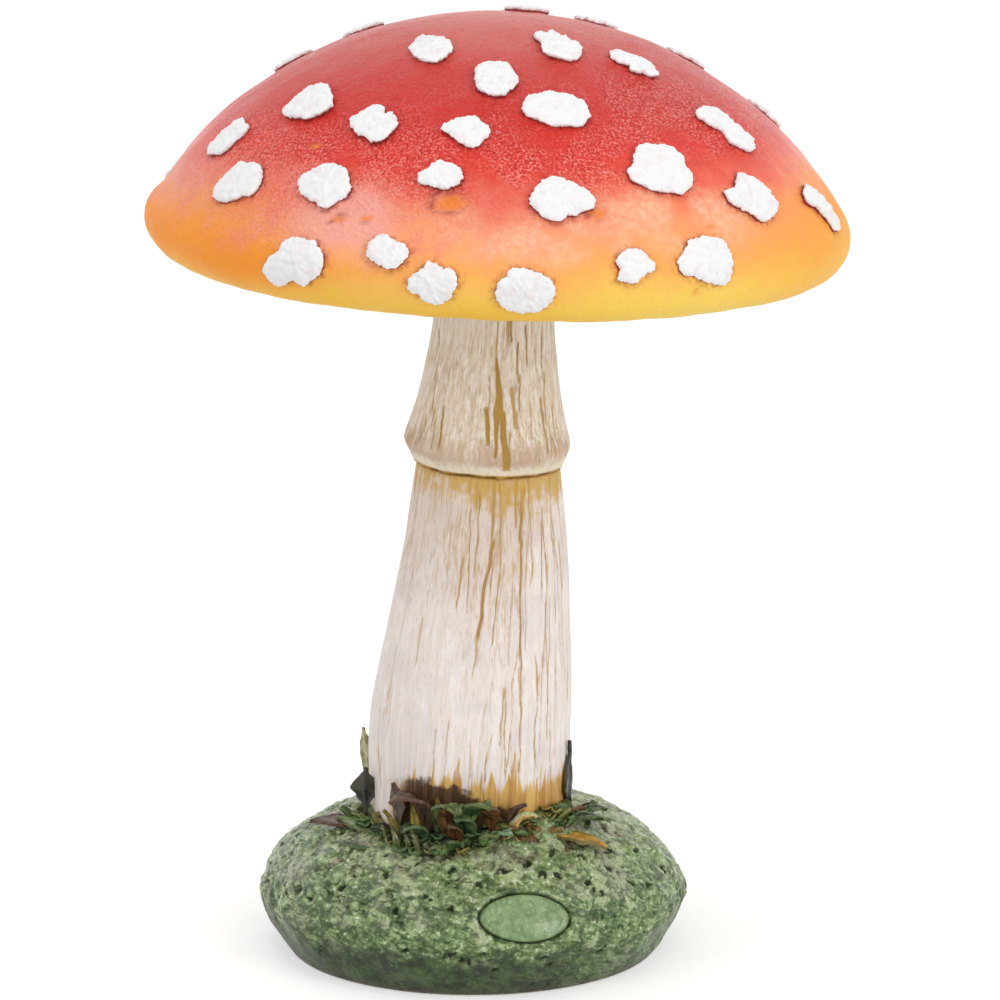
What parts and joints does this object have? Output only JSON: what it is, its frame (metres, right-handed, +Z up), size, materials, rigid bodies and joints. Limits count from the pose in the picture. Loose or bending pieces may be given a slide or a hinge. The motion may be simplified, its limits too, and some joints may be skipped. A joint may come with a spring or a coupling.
{
  "type": "toadstool ornament",
  "caption": "Free-standing toadstool ornament: a domed cap with raised patches on a leaning, tapered stalk with a skirt, set in an oval mossy mound.",
  "frame": {"origin": "centre of the mound's flat underside, on the surface that the ornament stands on", "axes": "+Z up, -Y towards the front with the foliage, +X towards the side that the stalk leans to"},
  "size_m": [0.174, 0.1767, 0.2391],
  "materials": {
    "moss": "satin",
    "stem": "matte",
    "skirt": "matte",
    "cap": "satin",
    "gills": "matte",
    "wart": "matte",
    "steel": "satin",
    "leaf_pale": "satin",
    "leaf_dark": "satin",
    "leaf_brown": "satin",
    "leaf_green": "satin",
    "leaf_ochre": "satin"
  },
  "bodies": {
    "root": {"mound": "moss", "stem": "stem", "skirt_sleeve": "skirt", "cap_shell": "cap", "gill_plate": "gills", "foot_pin": "steel", "cap_pin": "steel", "pale_blade": "leaf_pale", "ribbed_cream_leaf": "leaf_pale", "dark_rhomb": "leaf_dark", "dark_blade": "leaf_dark", "curled_brown_leaf": "leaf_brown", "arched_green_leaf": "leaf_green", "broad_green_leaf": "leaf_green", "dark_oval_leaf": "leaf_green", "turquoise_leaf": "leaf_green", "left_grass_blade": "leaf_green", "right_grass_blade": "leaf_green", "ochre_leaf": "leaf_ochre", "wart_01": "wart", "wart_02": "wart", "wart_03": "wart", "wart_04": "wart", "wart_05": "wart", "wart_06": "wart", "wart_07": "wart", "wart_08": "wart", "wart_09": "wart", "wart_10": "wart", "wart_11": "wart", "wart_12": "wart", "wart_13": "wart", "wart_14": "wart", "wart_15": "wart", "wart_16": "wart", "wart_17": "wart", "wart_18": "wart", "wart_19": "wart", "wart_20": "wart", "wart_21": "wart", "wart_22": "wart", "wart_23": "wart", "wart_24": "wart", "wart_25": "wart", "wart_26": "wart", "wart_27": "wart", "wart_28": "wart", "wart_29": "wart", "wart_30": "wart", "wart_31": "wart", "wart_32": "wart", "wart_33": "wart", "wart_34": "wart", "wart_35": "wart", "wart_36": "wart", "wart_37": "wart", "wart_38": "wart", "wart_39": "wart", "wart_40": "wart", "wart_41": "wart"}
  },
  "joints": []
}
